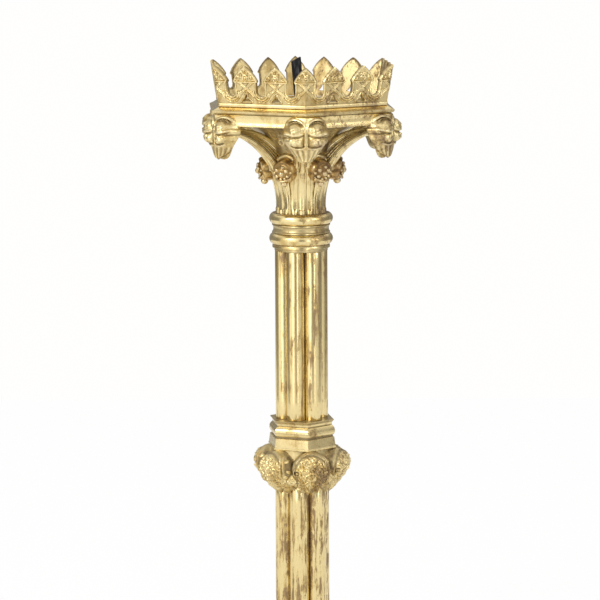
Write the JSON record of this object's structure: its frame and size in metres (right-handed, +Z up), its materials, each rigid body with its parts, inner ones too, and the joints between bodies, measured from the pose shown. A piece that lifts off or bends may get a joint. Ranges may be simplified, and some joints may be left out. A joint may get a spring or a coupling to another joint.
{
  "type": "processional candle standard head",
  "caption": "Head of a brass processional candle standard: clustered shafts, leafed knop, reeded capital and a hexagonal drip pan with leaf cresting and iron pricket.",
  "frame": {"origin": "centre of the mouth of the staff socket, at the ferrule's lower face", "axes": "+Z up the shaft to the pricket, -Y to the front"},
  "size_m": [0.1716, 0.182, 0.5403],
  "materials": {
    "cast_brass": "cast brass, hand polished, with brown tarnish in the hollows",
    "shaft_brass": "polished brass with light vertical streaks and spots",
    "leaf_brass": "cast brass, bright on the lobes and brown in the veins",
    "flower_brass": "reddish brown tarnished brass",
    "cresting_brass": "cast brass relief, bright borders and dull grounds",
    "black_iron": "blackened iron"
  },
  "bodies": {
    "stem": {"pole_socket": "cast_brass", "lower_shaft": "shaft_brass", "lower_shaft_plug": "cast_brass", "tie_rod": "black_iron", "rod_nut": "black_iron", "rod_washer": "black_iron", "pricket_spike": "black_iron", "pricket_socket": "black_iron"},
    "knop": {"knop_core": "cast_brass", "knop_neck": "cast_brass", "knop_sleeve": "cast_brass", "knop_leaf_1": "leaf_brass", "knop_leaf_2": "leaf_brass", "knop_leaf_3": "leaf_brass", "knop_leaf_4": "leaf_brass", "knop_leaf_5": "leaf_brass", "knop_leaf_6": "leaf_brass", "upper_shaft": "shaft_brass", "upper_shaft_plug": "cast_brass"},
    "head": {"collar_ring": "cast_brass", "capital_bell": "cast_brass", "capital_abacus": "cast_brass", "capital_arm_1": "cast_brass", "capital_arm_2": "cast_brass", "capital_arm_3": "cast_brass", "capital_arm_4": "cast_brass", "capital_arm_5": "cast_brass", "capital_arm_6": "cast_brass", "ball_flower_1": "flower_brass", "ball_flower_2": "flower_brass", "ball_flower_3": "flower_brass", "ball_flower_4": "flower_brass", "ball_flower_5": "flower_brass", "ball_flower_6": "flower_brass", "corner_crocket_1": "leaf_brass", "corner_crocket_2": "leaf_brass", "corner_crocket_3": "leaf_brass", "corner_crocket_4": "leaf_brass", "corner_crocket_5": "leaf_brass", "corner_crocket_6": "leaf_brass"},
    "pan": {"drip_pan": "cast_brass", "cresting_side_1": "cresting_brass", "cresting_side_2": "cresting_brass", "cresting_side_3": "cresting_brass", "cresting_side_4": "cresting_brass", "cresting_side_5": "cresting_brass", "cresting_side_6": "cresting_brass"}
  },
  "joints": [
    {"name": "knop_turn", "type": "hinge", "parent": "stem", "child": "knop", "pos_m": [0, 0, 0.17], "axis": [0, 0, 1], "continuous": true},
    {"name": "head_turn", "type": "hinge", "parent": "knop", "child": "head", "pos_m": [0, 0, 0.3743], "axis": [0, 0, 1], "continuous": true},
    {"name": "pan_lift", "type": "slide", "parent": "head", "child": "pan", "axis": [0, 0, 1], "range_m": [0, 0.05]}
  ]
}
